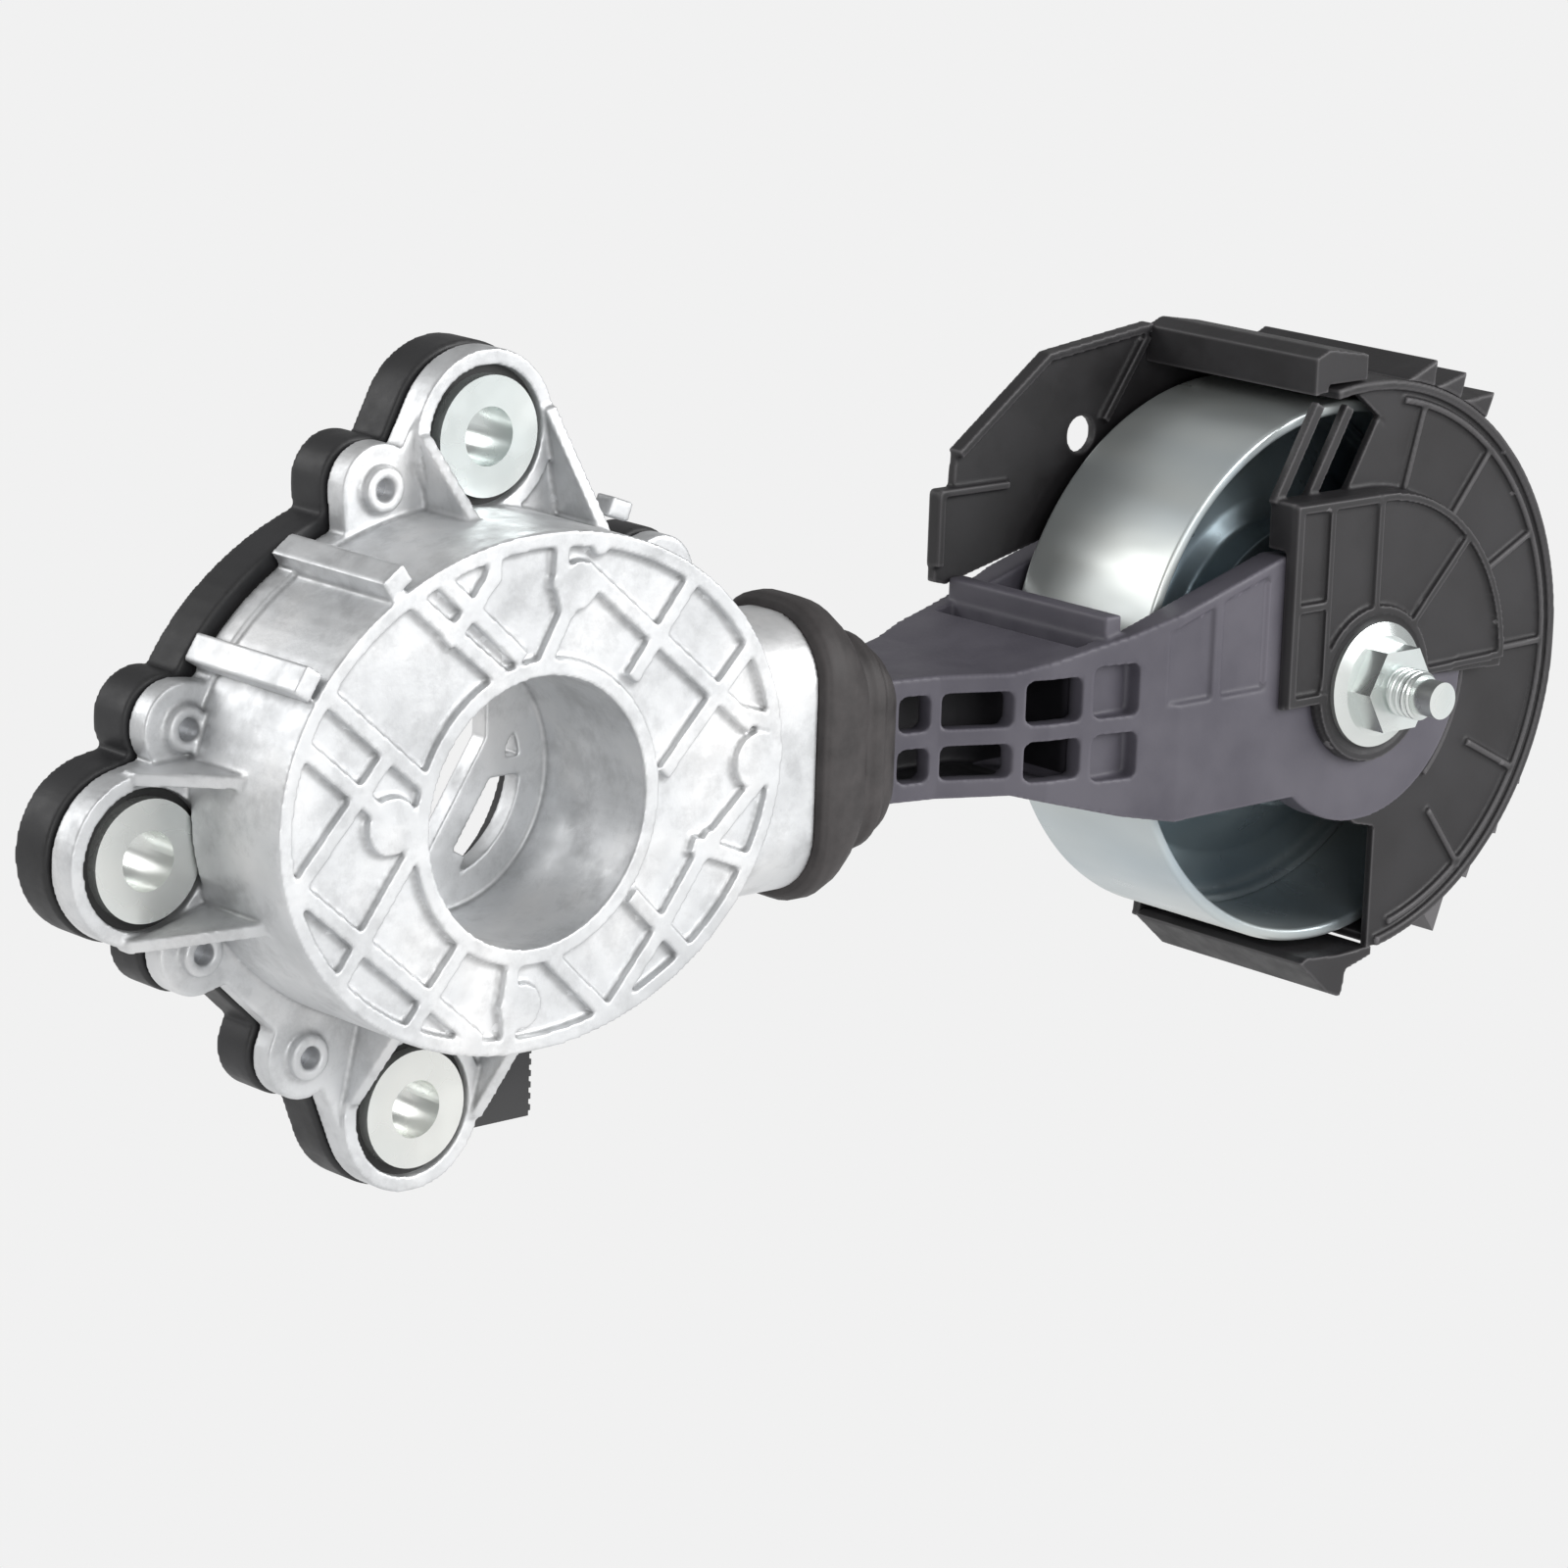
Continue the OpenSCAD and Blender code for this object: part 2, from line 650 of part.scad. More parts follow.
module flange_nut() {
    flange_t1 = 1.4;
    color([0.9, 0.92, 0.9]) difference() {
        union() {
            turned() polygon([[4, nut_y], [10.2, nut_y], [10.2, nut_y - 0.8],
                              [8.2, nut_y - flange_t1 - 0.4], [4, nut_y - flange_t1 - 0.4]]);
            translate([wheel_x, nut_y - 1, 0]) rotate([90, 0, 0])
                cylinder(r = 7.5, h = nut_h, $fn = 6);
        }
        rod_y([wheel_x, 0], 4, nut_y - 8, nut_y + 1);
    }
}

module spacer_front() {
    color([0.75, 0.76, 0.78]) turned()
        translate([axle_r, slot_y[0]]) square([3, bearing_y[0] - slot_y[0]]);
}

module spacer_rear() {
    color([0.75, 0.76, 0.78]) turned()
        translate([axle_r, bearing_y[1]]) square([3, slot_y[1] - bearing_y[1]]);
}

module bearing_inner_ring() {
    color([0.8, 0.82, 0.84]) turned() difference() {
        translate([axle_r, bearing_y[0]]) square([4.4, bearing_y[1] - bearing_y[0]]);
        for (y = ball_rows) translate([race_r, y]) circle(r = ball_r + 0.06);
    }
}

module bearing_outer_ring() {
    color([0.8, 0.82, 0.84]) turned() difference() {
        translate([14.1, bearing_y[0]])
            square([bearing_or - 14.1, bearing_y[1] - bearing_y[0]]);
        for (y = ball_rows) translate([race_r, y]) circle(r = ball_r + 0.06);
    }
}

module bearing_balls() {
    color([0.9, 0.9, 0.92]) for (y = ball_rows, i = [0 : balls_per_row - 1]) {
        a = 360 * i / balls_per_row;
        translate([wheel_x + race_r * cos(a), y, race_r * sin(a)]) sphere(r = ball_r);
    }
}

module bearing_cage() {
    color([0.75, 0.7, 0.55]) for (y = ball_rows) difference() {
        turned() translate([race_r - 0.7, y - 3.3]) square([1.4, 6.6]);
        for (i = [0 : balls_per_row - 1]) {
            a = 360 * i / balls_per_row;
            translate([wheel_x, y, 0]) rotate([0, -a, 0])
                rod_x([0, 0], ball_r + 0.07, race_r - 2, race_r + 2);
        }
    }
}

module bearing_seals() {
    color([0.1, 0.1, 0.1]) for (y = [bearing_y[0] + 0.2, bearing_y[1] - 1.2])
        turned() translate([10.55, y]) square([3.55, 1]);
}

// ---- wheel ----

module wheel_rim() {
    edge = 0.6;
    y0 = wheel_y[0];
    y1 = wheel_y[1];
    ro = wheel_r;
    ri = wheel_r - rim_t;
    color([0.78, 0.8, 0.78]) turned()
        polygon([[ri, y0 + edge], [ri + edge, y0], [ro - edge, y0], [ro, y0 + edge],
                 [ro, y1 - edge], [ro - edge, y1], [ri + edge, y1], [ri, y1 - edge]]);
}

module wheel_hub() {
    web_t = 2.4;
    ri = wheel_r - rim_t;
    color([0.72, 0.75, 0.75]) turned() {
        translate([bearing_or, hub_y[0]]) square([5.2, hub_y[1] - hub_y[0]]);
        polygon([[23, 12], [27, 14], [34, 20], [ri, 21.5], [ri, 21.5 + web_t],
                 [33, 20 + web_t], [26, 14 + web_t], [23, 12 + web_t]]);
        translate([ri - 1.4, 18.4]) square([1.4, 6]);
    }
}

// ---- guard ----

// The plate over each cheek: a block with a round right-hand side
module guard_face_shape() {
    intersection() {
        translate([wheel_x, 0]) union() {
            translate([-20.3, -2]) square([20.3, 33.3]);
            ring_sector(0, 31.3, -2, 90);
            circle(r = 13);
        }
        translate([100, -60]) square([200, 91.3]);
    }
}

// The arm's outline with room round it
module cheek_clearance() {
    polygon([[100, -19], [wheel_x - 7, -18], [wheel_x, -24], [wheel_x, 24], [144, 23.4],
             [100, 13]]);
    translate([wheel_x, 0]) circle(r = boss_r + 0.4, $fn = 128);
}

// The wall beside the wheel, from the lip below round to the bridge above
module guard_wall_shape() {
    difference() {
        intersection() {
            translate(guard_c) ring_sector(0, guard_r + guard_t, -89, 100);
            translate([wheel_x, 0]) ring_sector(boss_r + 0.4, 80, -89, 100);
        }
        translate([wheel_x - 14, 30]) rotate(-38) square([14, 40], center = true);
        polygon([[100, -14], [158, -17.5], [166.5, -24.5], [171, -25.5], [171, -60], [100, -60]]);
    }
    translate([wheel_x - 21, 31]) rotate(-30) square([2, 17.6]);
    translate([wheel_x - 13.5, 31]) rotate(-30) square([2, 16.4]);
    translate([wheel_x - 5, 30]) rotate(-30) square([2, 14]);
}

// Raised ribs on the front wall and plate
module guard_wall_ribs() {
    rib = 1.1;
    edge_r = guard_r - 1;
    spokes = [-52, -27, 1.5, 26, 50, 74];
    translate(guard_c) ring_sector(edge_r - rib, edge_r, -76, 80);
    translate([wheel_x, 0]) {
        for (a = spokes) rotate(a) translate([31, -rib / 2]) square([edge_r - 31.5, rib]);
        ring_sector(24.5, 24.5 + rib, -46, 0);
    }
}

module guard_face_ribs() {
    rib = 1.3;
    translate([wheel_x, 0]) {
        ring_sector(29.7, 31, 1, 91);
        ring_sector(11.4, 12.7, -179, 179);
        for (a = [2, 46]) rotate(a) translate([12, -rib / 2]) square([18.2, rib]);
        translate([-1.2, 12]) square([rib, 18.2]);
        translate([-20, -1.7]) square([1.5, 32.6]);
        translate([-12.4, 2]) square([rib, 28.2]);
        translate([-20, 29.5]) square([19, 1.5]);
        translate([-20, 13.6]) square([8, rib]);
        translate([-20, -1.7]) square([9, 1.5]);
    }
}

module guard_front() {
    rib_h = 0.9;
    color([0.16, 0.16, 0.17]) difference() {
        union() {
            along_y(guard_wall_y[0], guard_wall_y[0] + guard_t) guard_wall_shape();
            along_y(guard_wall_y[0] - rib_h, guard_wall_y[0] + 0.1) guard_wall_ribs();
            along_y(guard_face_y[0] + rib_h, guard_wall_y[0] + guard_t) guard_face_shape();
            along_y(guard_face_y[0], cheek_y[0]) guard_face_ribs();
            along_y(guard_wall_y[0] - rib_h, shell_split_y) translate(guard_c)
                ring_sector(guard_r, guard_r + guard_t, -80, 100);
            rod_y([wheel_x, 0], 12, guard_boss_y[0], cheek_y[0]);
        }
        along_y(cheek_y[0], 0) cheek_clearance();
        rod_y([wheel_x, 0], 7, guard_face_y[0] - 1, 0);
    }
}

// The tall plate on the far side, with its foot at the left
module rear_plate_shape() {
    difference() {
        union() {
            polygon([[106, 15.8], [106, 30], [109.5, 30.5], [110, 36], [129, 50.3], [152, 53.2],
                     [wheel_x, guard_r + guard_t], [wheel_x, 24], [145, 14], [118, 12.8]]);
            guard_wall_shape();
            translate([wheel_x, 0]) ring_sector(boss_r + 0.4, guard_r + guard_t, -100, 100);
            translate(guard_c) ring_sector(boss_r + 8, guard_r + guard_t, -70, 100);
        }
        translate([137.5, 36.5]) circle(r = 3);
        cheek_clearance();
    }
}

module guard_rear() {
    edge_h = 1.2;
    color([0.15, 0.15, 0.16]) difference() {
        union() {
            along_y(guard_wall_y[1] - guard_t, guard_wall_y[1]) rear_plate_shape();
            along_y(guard_wall_y[1] - guard_t - edge_h, guard_wall_y[1]) {
                bar([106.4, 18.4], [106.4, 30], 1.4);
                bar([110, 36], [129, 50], 1.4);
                bar([129, 50], [152, 52.9], 1.4);
                bar([142, 38.5], [151, 51.5], 1.4);
                bar([106, 30.1], [121, 30.1], 1.2);
            }
            along_y(guard_wall_y[1] - guard_t, guard_face_y[1] - 1) guard_face_shape();
            rod_y([wheel_x, 0], 12, cheek_y[1], guard_boss_y[1]);
            along_y(shell_split_y, guard_wall_y[1]) translate(guard_c)
                ring_sector(guard_r, guard_r + guard_t, -80, 92);
        }
        along_y(0, cheek_y[1]) cheek_clearance();
        rod_y([wheel_x, 0], 7, 0, guard_face_y[1] + 1);
    }
}

// A saw tooth on the guard's outside, with its tip at the given angle
module saw_tooth(tip, height, run) {
    r0 = guard_r + guard_t;
    translate(guard_c) polygon([r0 * [cos(tip + run), sin(tip + run)],
        (r0 + height) * [cos(tip), sin(tip)], (r0 + 0.04) * [cos(tip - 1), sin(tip - 1)],
        (r0 + 0.04) * [cos(tip + run / 2), sin(tip + run / 2)]]);
}

// The beam that joins both sides above the wheel, and the cooling fins beside it
module guard_bridge() {
    r0 = guard_r + guard_t;
    color([0.15, 0.15, 0.16]) {
        along_y(guard_wall_y[0], guard_wall_y[1] - guard_t)
            polygon([[151.5, 47.2], [151.5, 53.2], [154.5, 54.4], [wheel_x - 1, r0 + 5.4],
                     [wheel_x - 1, r0 + 1.1], [154.5, r0 + 1.1], [154.5, 47.6]]);
        for (tip = [73.5, 65, 56]) along_y(guard_wall_y[0] - 0.9, guard_wall_y[1] - 2)
            saw_tooth(tip, 4.4, 7);
    }
}

module guard_lip() {
    color([0.13, 0.13, 0.14]) {
        along_y(guard_wall_y[0], guard_wall_y[1] - guard_t)
            polygon([[wheel_x - 9, -46.4], [wheel_x - 2.3, -52.2], [wheel_x + 0.8, -53.4],
                     [wheel_x + 1.4, -52.4], [wheel_x + 2, -49], [wheel_x + 7.9, -47.4],
                     [wheel_x + 7.9, -45.9], [wheel_x, -46.2], [wheel_x - 7.3, -45.6]]);
    }
}

// Teeth round the front half's lower edge: tip angle, height and run
module guard_clips() {
    teeth = [[-64, 4.4, 6], [-52, 1.6, 4], [-41, 1.4, 4], [-30, 1.1, 4]];
    color([0.14, 0.14, 0.15]) for (t = teeth)
        along_y(guard_wall_y[0], shell_split_y) saw_tooth(t[0], t[1], t[2]);
}

housing();
rear_cover();
cover_seal();
cover_screws();
mounting_sleeves();
sleeve_grommets();
connector_shell();
connector_pins();
nozzle_liner();
boot();
guide_pins();
spring_seats();
tension_springs();
actuator_motor();
motor_bracket();
lead_screw();
spindle_nut();
slide_yoke();
yoke_bushes();
yoke_pins();
arm();
cheek_bushes();
axle_bolt();
flange_nut();
spacer_front();
spacer_rear();
bearing_inner_ring();
bearing_balls();
bearing_cage();
bearing_outer_ring();
bearing_seals();
wheel_rim();
wheel_hub();
guard_front();
guard_rear();
guard_bridge();
guard_lip();
guard_clips();
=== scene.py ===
"""The looks of a sprung idler unit: cast housing, folded boot, forked arm, plated wheel and black guard.

Everything is in metres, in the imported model's own frame: +X from the hub bore to the wheel, +Y into the
engine, +Z up.
"""

import math

import bpy
from mathutils import Matrix, Vector


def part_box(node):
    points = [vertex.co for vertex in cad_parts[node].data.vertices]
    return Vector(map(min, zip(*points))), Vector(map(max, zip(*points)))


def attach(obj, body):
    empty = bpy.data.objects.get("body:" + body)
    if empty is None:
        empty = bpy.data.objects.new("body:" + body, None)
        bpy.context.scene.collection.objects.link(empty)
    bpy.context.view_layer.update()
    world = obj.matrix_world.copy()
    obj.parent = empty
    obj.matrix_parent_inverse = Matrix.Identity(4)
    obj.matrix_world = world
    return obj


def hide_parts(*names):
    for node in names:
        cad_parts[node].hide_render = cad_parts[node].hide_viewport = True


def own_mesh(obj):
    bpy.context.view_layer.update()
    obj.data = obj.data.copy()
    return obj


MM = 0.001

# The camera, solved from the round features of the real thing
CAMERA_AIM = Vector((46.96, 0.0, -2.27)) * MM
CAMERA_AZIMUTH = math.radians(-42.174)
CAMERA_ELEVATION = math.radians(13.949)
CAMERA_ROLL = math.radians(1.957)
CAMERA_DISTANCE = 858.68 * MM
CAMERA_LENS = 132.75

FLOOR_Z = -0.30
PALE = (0.88, 0.88, 0.88, 1.0)
WORLD_STRENGTH = 0.45

# The hollow behind the arm's lattice, whose inside is painted with shade, darker than the arm's outside: its
# middle, half its width at the start, how that flares with X, its widest half, half its height, and its ends
HOLLOW_MIDDLE_Y = 13.5 * MM
HOLLOW_HALF = 7.3 * MM
HOLLOW_FLARE = 0.37
HOLLOW_WIDEST = 17.0 * MM
HOLLOW_HALF_H = 8.3 * MM
HOLLOW_X = (73.5 * MM, 105.5 * MM)


# ---- materials ----


class Shader:
    """A new material whose nodes are made and linked by short calls."""

    def __init__(self, name):
        self.material = bpy.data.materials.new(name)
        self.material.use_nodes = True
        self.nodes = self.material.node_tree.nodes
        self.links = self.material.node_tree.links
        self.principled = self.nodes["Principled BSDF"]
        self.place = self.nodes.new("ShaderNodeTexCoord").outputs["Object"]

    def set(self, **values):
        for name, value in values.items():
            self.principled.inputs[name.replace("_", " ")].default_value = value

    def noise(self, per_metre, detail=4.0, roughness=0.55, stretch=(1, 1, 1)):
        """Noise with that many lumps per metre, stretched along the axes whose share is below 1."""
        mapping = self.nodes.new("ShaderNodeMapping")
        mapping.inputs["Scale"].default_value = stretch
        texture = self.nodes.new("ShaderNodeTexNoise")
        texture.inputs["Scale"].default_value = per_metre
        texture.inputs["Detail"].default_value = detail
        texture.inputs["Roughness"].default_value = roughness
        self.links.new(self.place, mapping.inputs["Vector"])
        self.links.new(mapping.outputs["Vector"], texture.inputs["Vector"])
        return texture.outputs["Fac"]

    def radius(self, x, z):
        """Distance from the line along Y through that x and z, in metres."""
        mapping = self.nodes.new("ShaderNodeMapping")
        mapping.inputs["Location"].default_value = (-x, 0, -z)
        mapping.inputs["Scale"].default_value = (1, 0, 1)
        length = self.nodes.new("ShaderNodeVectorMath")
        length.operation = "LENGTH"
        self.links.new(self.place, mapping.inputs["Vector"])
        self.links.new(mapping.outputs["Vector"], length.inputs[0])
        return length.outputs["Value"]

    def math(self, operation, *values):
        """A Math node's result from numbers or other nodes' results."""
        node = self.nodes.new("ShaderNodeMath")
        node.operation = operation
        for socket, value in zip(node.inputs, values):
            if isinstance(value, (int, float)):
                socket.default_value = value
            else:
                self.links.new(value, socket)
        return node.outputs["Value"]

    def depth_in_arm(self):
        """How far a point is inside the lattice's hollow, in metres, and 0 on the arm's outside."""
        place = self.nodes.new("ShaderNodeSeparateXYZ")
        self.links.new(self.place, place.inputs[0])
        x, y, z = place.outputs
        off_middle = self.math("ABSOLUTE", self.math("SUBTRACT", y, HOLLOW_MIDDLE_Y))
        flare = self.math("MULTIPLY_ADD", x, HOLLOW_FLARE, HOLLOW_HALF - HOLLOW_FLARE * HOLLOW_X[0])
        half = self.math("MINIMUM", flare, HOLLOW_WIDEST)
        depth = self.math("SUBTRACT", half, off_middle)
        low = self.math("LESS_THAN", self.math("ABSOLUTE", self.math("ADD", z, 0.2 * MM)), HOLLOW_HALF_H)
        after = self.math("GREATER_THAN", x, HOLLOW_X[0])
        before = self.math("LESS_THAN", x, HOLLOW_X[1])
        inside = self.math("MULTIPLY", low, self.math("MULTIPLY", after, before))
        return self.math("MULTIPLY", depth, inside)

    def ramp(self, source, stops):
        """A colour ramp of (position, colour) stops, where a colour may be one grey number."""
        node = self.nodes.new("ShaderNodeValToRGB")
        elements = node.color_ramp.elements
        while len(elements) < len(stops):
            elements.new(0.5)
        for element, (position, colour) in zip(elements, stops):
            element.position = position
            element.color = (colour,) * 3 + (1,) if isinstance(colour, float) else (*colour, 1)
        self.links.new(source, node.inputs["Fac"])
        return node.outputs["Color"]

    def mix(self, share, a, b, blend_type="MIX"):
        """Colour a with that share of b over it."""
        node = self.nodes.new("ShaderNodeMix")
        node.data_type = "RGBA"
        node.blend_type = blend_type
        for name, value in (("Factor", share), ("A", a), ("B", b)):
            socket = [s for s in node.inputs if s.name == name and s.enabled][0]
            if isinstance(value, (int, float, tuple)):
                socket.default_value = value
            else:
                self.links.new(value, socket)
        return [s for s in node.outputs if s.enabled][0]

    def colour(self, source):
        self.links.new(source, self.principled.inputs["Base Color"])

    def roughness(self, source):
        self.links.new(source, self.principled.inputs["Roughness"])

    def bump(self, *layers):
        """Layers of (height, depth in metres), each on top of the last."""
        normal = None
        for height, depth in layers:
            node = self.nodes.new("ShaderNodeBump")
            node.inputs["Strength"].default_value = 1.0
            node.inputs["Distance"].default_value = depth
            self.links.new(height, node.inputs["Height"])
            if normal:
                self.links.new(normal, node.inputs["Normal"])
            normal = node.outputs["Normal"]
        self.links.new(normal, self.principled.inputs["Normal"])

    def pointiness(self):
        """Above a half on outward edges, below it in inward corners."""
        return self.nodes.new("ShaderNodeNewGeometry").outputs["Pointiness"]

    def edge_wear_and_highlight(self, base, edge_colour, share):
        """The base colour, with the edge colour where the surface turns outward: partly wear, partly a
        painted highlight.
        """
        edge = self.ramp(self.pointiness(), [(0.51, 0.0), (0.58, share)])
        return self.mix(edge, base, edge_colour)


def cast_aluminium():
    """Dull bright metal with flow marks, and painted shade in its inward corners."""
    s = Shader("as-cast aluminium")
    s.set(Metallic=0.85, Specular_IOR_Level=0.5)
    flow = s.noise(45, 5)
    grain = s.noise(1400, 3)
    colour = s.ramp(flow, [(0.3, (0.54, 0.55, 0.56)), (0.5, (0.68, 0.69, 0.70)), (0.7, (0.80, 0.80, 0.80))])
    stain = s.ramp(s.noise(130, 6, 0.7), [(0.38, 0.82), (0.52, 1.0)])
    # painted shade: darker where the surface turns inward
    corners = s.ramp(s.pointiness(), [(0.44, 0.45), (0.495, 1.0)])
    s.colour(s.mix(0.85, s.mix(0.8, colour, stain, "MULTIPLY"), corners, "MULTIPLY"))
    s.roughness(s.ramp(s.noise(220, 4), [(0.3, 0.42), (0.7, 0.62)]))
    s.bump((flow, 0.10 * MM), (s.noise(420, 4), 0.05 * MM), (grain, 0.018 * MM))
    return s.material


def zinc_plate(name, cold, warm, rough=(0.20, 0.36), stretch=(1, 1, 1), metallic=0.9, painted_shade_inside=None):
    """Bright zinc with the faint two-coloured tint of a passivated surface.

    The last option is the (x, z, radius) of a wheel whose inside is painted with shade, so that it stays
    bright only on the outside.
    """
    s = Shader(name)
    s.set(Metallic=metallic)
    tint = s.noise(28, 3, stretch=stretch)
    colour = s.ramp(tint, [(0.35, cold), (0.65, warm)])
    cloud = s.ramp(s.noise(70, 2, 0.5), [(0.3, 0.93), (0.7, 1.0)])
    colour = s.mix(0.8, colour, cloud, "MULTIPLY")
    if painted_shade_inside:
        x, z, radius = painted_shade_inside
        # painted shade: darker inside the wheel than on its tread
        shade = s.ramp(s.radius(x, z), [(radius - 1.2 * MM, (0.30, 0.36, 0.41)), (radius, (1.0, 1.0, 1.0))])
        colour = s.mix(1.0, colour, shade, "MULTIPLY")
    s.colour(colour)
    s.roughness(s.ramp(s.noise(120, 2, stretch=stretch), [(0.3, rough[0]), (0.7, rough[1])]))
    s.bump((s.noise(250, 2, stretch=stretch), 0.003 * MM))
    return s.material


def moulded_plastic(name, dark, light, edge_colour, wear_and_highlight_share=0.5, painted_shade_hollow=False):
    """Fine-grained plastic, lighter along its edges, as wear and as a painted highlight. Its last option
    paints shade into the hollow of the arm's lattice.
    """
    s = Shader(name)
    s.set(Specular_IOR_Level=0.35)
    drift = s.noise(60, 4)
    colour = s.ramp(drift, [(0.35, dark), (0.65, light)])
    colour = s.edge_wear_and_highlight(colour, (*edge_colour, 1), wear_and_highlight_share)
    if painted_shade_hollow:
        # painted shade: darker the deeper a point lies in the lattice's hollow
        painted_hollow_shade = s.ramp(s.depth_in_arm(), [(0.0, 1.0), (2.5 * MM, 0.12)])
        colour = s.mix(1.0, colour, painted_hollow_shade, "MULTIPLY")
    s.colour(colour)
    s.roughness(s.ramp(s.noise(240, 4), [(0.3, 0.42), (0.7, 0.58)]))
    s.bump((drift, 0.05 * MM), (s.noise(2200, 3), 0.012 * MM))
    return s.material


def rubber(name, dark, light):
    """Dusty rubber, lighter along its worn edges."""
    s = Shader(name)
    s.set(Specular_IOR_Level=0.35)
    dust = s.noise(180, 5, 0.65)
    edge_colour = (*[c * 1.5 for c in light], 1)
    s.colour(s.edge_wear_and_highlight(s.ramp(dust, [(0.35, dark), (0.68, light)]), edge_colour, 0.5))
    s.roughness(s.ramp(dust, [(0.3, 0.5), (0.7, 0.72)]))
    s.bump((s.noise(1500, 4), 0.02 * MM))
    return s.material


def machined_metal(name, base, rough=0.3):
    """Metal with fine turning marks."""
    s = Shader(name)
    s.set(Metallic=1.0, Anisotropic=0.4)
    turned = s.noise(700, 3, stretch=(1, 6, 1))
    low = tuple(c * 0.86 for c in base)
    s.colour(s.ramp(turned, [(0.3, low), (0.7, base)]))
    s.roughness(s.ramp(turned, [(0.3, rough - 0.06), (0.7, rough + 0.08)]))
    s.bump((turned, 0.006 * MM))
    return s.material


# ---- meshes ----


def new_object(name, vertices, faces, smooth=True):
    """A mesh object of those vertices and faces."""
    mesh = bpy.data.meshes.new(name)
    mesh.from_pydata([tuple(v) for v in vertices], [], faces)
    mesh.update()
    obj = bpy.data.objects.new(name, mesh)
    bpy.context.scene.collection.objects.link(obj)
    if smooth:
        mesh.polygons.foreach_set("use_smooth", [True] * len(mesh.polygons))
    return obj


def applied(obj):
    """obj with its modifiers made real."""
    graph = bpy.context.evaluated_depsgraph_get()
    mesh = bpy.data.meshes.new_from_object(obj.evaluated_get(graph))
    obj.modifiers.clear()
    obj.data = mesh
    return obj


def rounded_copy(node, name, voxel, passes):
    """A copy of a CAD node with every sharp edge melted round, as a casting or a moulding has."""
    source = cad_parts[node]
    obj = bpy.data.objects.new(name, source.data.copy())
    bpy.context.scene.collection.objects.link(obj)
    obj.data.materials.clear()
    weld = obj.modifiers.new("weld", "WELD")
    weld.merge_threshold = 0.002 * MM
    remesh = obj.modifiers.new("remesh", "REMESH")
    remesh.mode = "VOXEL"
    remesh.voxel_size = voxel
    smooth = obj.modifiers.new("smooth", "SMOOTH")
    smooth.factor = 0.5
    smooth.iterations = passes
    applied(obj)
    obj.data.polygons.foreach_set("use_smooth", [True] * len(obj.data.polygons))
    return obj


def band(i, j, count):
    """Faces between rings i and j of that many points each."""
    steps = [(k, (k + 1) % count) for k in range(count)]
    return [(i * count + k, i * count + k2, j * count + k2, j * count + k) for k, k2 in steps]


def lathe_y(name, centre, profile, turns):
    """A closed profile of (radius, y) points turned round the axis along Y through centre."""
    vertices = []
    for i in range(turns):
        a = 2 * math.pi * i / turns
        for radius, y in profile:
            vertices.append((centre[0] + radius * math.cos(a), y, centre[1] + radius * math.sin(a)))
    faces = [face for i in range(turns) for face in band(i, (i + 1) % turns, len(profile))]
    return new_object(name, vertices, faces)


def rounded_section(half_y, half_z, corner, count=72):
    """Points (y, z) round a rectangle with round corners, evenly spaced by angle."""
    corner = min(corner, half_y, half_z)
    points = []
    for i in range(count):
        a = 2 * math.pi * (i + 0.5) / count
        c, s = math.cos(a), math.sin(a)
        cy = math.copysign(half_y - corner, c)
        cz = math.copysign(half_z - corner, s)
        # the ray meets a side, or the corner's arc
        t = min(half_y / abs(c) if c else 9e9, half_z / abs(s) if s else 9e9)
        y, z = t * c, t * s
        if abs(y) > half_y - corner and abs(z) > half_z - corner:
            b = c * cy + s * cz
            root = max(b * b - (cy * cy + cz * cz - corner * corner), 0)
            t = b + math.sqrt(root)
            y, z = t * c, t * s
        points.append((y, z))
    return points


def loft_x(name, centre, sections):
    """A skin over sections (x, half_y, half_z, corner) along X, centred on (y, z), closed on itself."""
    rings = [[(x, centre[0] + y, centre[1] + z) for y, z in rounded_section(hy, hz, r)]
             for x, hy, hz, r in sections]
    n = len(rings[0])
    vertices = [p for ring in rings for p in ring]
    faces = [face for i in range(len(rings) - 1) for face in band(i, i + 1, n)]
    faces += band(len(rings) - 1, 0, n)
    return new_object(name, vertices, faces)


def wire_coil(name, centre, radius, wire, x0, x1, turns, steps=40, sides=12):
    """A spring's round wire, wound round the axis along X through (y, z), with closed ends."""
    total = turns * steps
    path = []
    for i in range(total + 1):
        a = 2 * math.pi * i / steps
        x = x0 + wire + (x1 - x0 - 2 * wire) * i / total
        path.append((x, a))
    vertices = []
    for x, a in path:
        for k in range(sides):
            b = 2 * math.pi * k / sides
            r = radius + wire * math.cos(b)
            vertices.append((x + wire * math.sin(b), centre[0] + r * math.cos(a),
                             centre[1] + r * math.sin(a)))
    faces = [face for i in range(total) for face in band(i, i + 1, sides)]
    faces.append(tuple(range(sides - 1, -1, -1)))
    faces.append(tuple(total * sides + k for k in range(sides)))
    return new_object(name, vertices, faces)


def finished(obj, material, body, *nodes, slot=None):
    """Gives a piece its material and body, and the CAD nodes that it stands for."""
    obj.data.materials.clear()
    obj.data.materials.append(material)
    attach(obj, body)
    if nodes:
        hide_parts(*nodes)
    return obj


def paint(material, *nodes):
    """Gives CAD nodes that are shown as they are their material."""
    for name in nodes:
        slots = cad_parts[name].data.materials
        for i in range(len(slots)):
            slots[i] = material


# ---- the pieces ----

